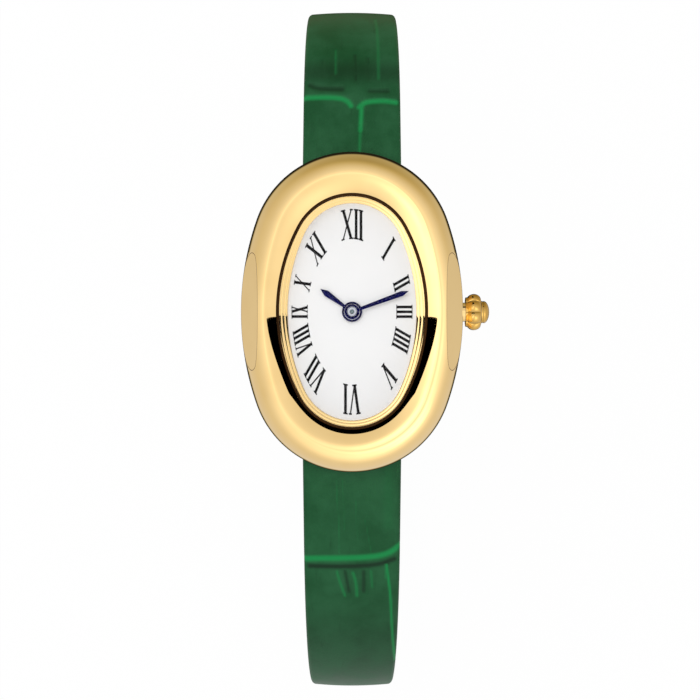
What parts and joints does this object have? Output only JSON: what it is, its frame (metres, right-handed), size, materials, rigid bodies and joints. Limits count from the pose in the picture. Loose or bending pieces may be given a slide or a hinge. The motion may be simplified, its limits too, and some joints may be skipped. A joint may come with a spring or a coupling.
{
  "type": "wrist watch",
  "caption": "Oval dress watch with a rounded gold bezel, Roman numeral dial, side crown and a curled, unbuckled leather strap with a pin buckle.",
  "frame": {"origin": "centre of the case back's outer face", "axes": "+Z out of the crystal, +Y towards 12 o'clock, +X towards the crown"},
  "size_m": [0.0248, 0.0727, 0.0528],
  "materials": {
    "gold": "polished gold plating",
    "steel": "satin",
    "seal": "matt",
    "crystal": "clear and polished",
    "dial": "smooth off-white paint",
    "numerals": "printed black",
    "hands": "polished dark blue",
    "movement_brass": "satin",
    "coil_wire": "enamelled copper wire",
    "board": "solder mask",
    "black_plastic": "matt",
    "pale_plastic": "moulded",
    "green_leather": "smooth dyed leather with fine creases",
    "lining_leather": "matt undyed leather"
  },
  "bodies": {
    "case": {"case_middle": "gold", "case_back": "steel", "case_back_gasket": "seal", "crystal": "crystal", "crystal_gasket": "seal", "flange_ring": "gold", "dial": "dial", "numerals": "numerals", "centre_pin": "steel", "main_plate": "movement_brass", "train_bridge": "movement_brass", "movement_screws": "steel", "stator": "steel", "coil_core": "steel", "coil": "coil_wire", "battery": "steel", "battery_clamp": "steel", "circuit_board": "board", "chip": "black_plastic", "quartz_resonator": "steel", "movement_holder": "pale_plastic", "case_tube": "gold", "lug_spring_bars": "steel"},
    "minute_hand": {"minute_hand": "hands", "cannon_pinion": "movement_brass", "centre_wheel": "movement_brass"},
    "hour_hand": {"hour_hand": "hands", "hour_wheel": "movement_brass"},
    "minute_wheel": {"minute_wheel": "movement_brass"},
    "setting_wheel": {"setting_wheel": "steel"},
    "third_wheel": {"third_wheel": "movement_brass"},
    "intermediate_wheel": {"intermediate_wheel": "movement_brass"},
    "rotor": {"rotor": "steel"},
    "clutch": {"clutch_wheel": "steel"},
    "crown": {"crown": "gold", "stem": "steel", "crown_gasket": "seal"},
    "setting_lever": {"setting_lever": "steel"},
    "strap_12": {"strap_12_outer": "green_leather", "strap_12_lining": "lining_leather", "fixed_keeper": "green_leather"},
    "loose_keeper": {"loose_keeper": "green_leather"},
    "buckle": {"buckle_frame": "gold", "buckle_bar": "gold"},
    "tang": {"buckle_tang": "gold"},
    "strap_6": {"strap_6_outer": "green_leather", "strap_6_lining": "lining_leather"}
  },
  "joints": [
    {"name": "minute_hand_turn", "type": "hinge", "parent": "case", "child": "minute_hand", "pos_m": [0, 0, 0.0049], "axis": [0, 0, 1], "continuous": true},
    {"name": "hour_hand_turn", "type": "hinge", "parent": "case", "child": "hour_hand", "pos_m": [0, 0, 0.0045], "axis": [0, 0, 1], "continuous": true},
    {"name": "minute_wheel_turn", "type": "hinge", "parent": "case", "child": "minute_wheel", "pos_m": [0.0017, -0.0017, 0.0033], "axis": [0, 0, 1], "continuous": true},
    {"name": "setting_wheel_turn", "type": "hinge", "parent": "case", "child": "setting_wheel", "pos_m": [0.00405, -0.00084, 0.0032], "axis": [0, 0, 1], "continuous": true},
    {"name": "third_wheel_turn", "type": "hinge", "parent": "case", "child": "third_wheel", "pos_m": [-0.00206, 0.00119, 0.002], "axis": [0, 0, 1], "continuous": true},
    {"name": "intermediate_wheel_turn", "type": "hinge", "parent": "case", "child": "intermediate_wheel", "pos_m": [-0.00155, 0.00308, 0.002], "axis": [0, 0, 1], "continuous": true},
    {"name": "rotor_turn", "type": "hinge", "parent": "case", "child": "rotor", "pos_m": [-0.00081, 0.00383, 0.002], "axis": [0, 0, 1], "continuous": true},
    {"name": "stem_turn", "type": "hinge", "parent": "case", "child": "clutch", "pos_m": [0, 0, 0.0023], "axis": [1, 0, 0], "continuous": true},
    {"name": "crown_pull", "type": "slide", "parent": "clutch", "child": "crown", "axis": [1, 0, 0], "range_m": [0, 0.0009]},
    {"name": "setting_lever_turn", "type": "hinge", "parent": "case", "child": "setting_lever", "pos_m": [0.0047, 0.0022, 0.0016], "axis": [0, 0, 1], "range_deg": [0, 28]},
    {"name": "strap_12_swing", "type": "hinge", "parent": "case", "child": "strap_12", "pos_m": [0, 0.013, 0.0016], "axis": [1, 0, 0], "range_deg": [-20, 10]},
    {"name": "strap_6_swing", "type": "hinge", "parent": "case", "child": "strap_6", "pos_m": [0, -0.013, 0.0016], "axis": [-1, 0, 0], "range_deg": [-5, 15]},
    {"name": "buckle_swing", "type": "hinge", "parent": "strap_12", "child": "buckle", "pos_m": [0, -0.00317, -0.02792], "axis": [-1, 0, 0], "range_deg": [-15, 40]},
    {"name": "tang_swing", "type": "hinge", "parent": "buckle", "child": "tang", "pos_m": [0, -0.00317, -0.02792], "axis": [1, 0, 0], "range_deg": [0, 60]},
    {"name": "loose_keeper_slide", "type": "slide", "parent": "strap_12", "child": "loose_keeper", "axis": [0, 1, 0], "range_m": [0, 0.0085]}
  ],
  "couplings": [
    {"joint": "hour_hand_turn", "follows": "minute_hand_turn", "ratio": 0.083333},
    {"joint": "minute_wheel_turn", "follows": "minute_hand_turn", "ratio": -0.33333},
    {"joint": "setting_wheel_turn", "follows": "minute_hand_turn", "ratio": 0.85714},
    {"joint": "third_wheel_turn", "follows": "minute_hand_turn", "ratio": -7.5},
    {"joint": "intermediate_wheel_turn", "follows": "minute_hand_turn", "ratio": 45},
    {"joint": "rotor_turn", "follows": "minute_hand_turn", "ratio": -180},
    {"joint": "setting_lever_turn", "follows": "crown_pull", "rad_per_m": 542}
  ]
}
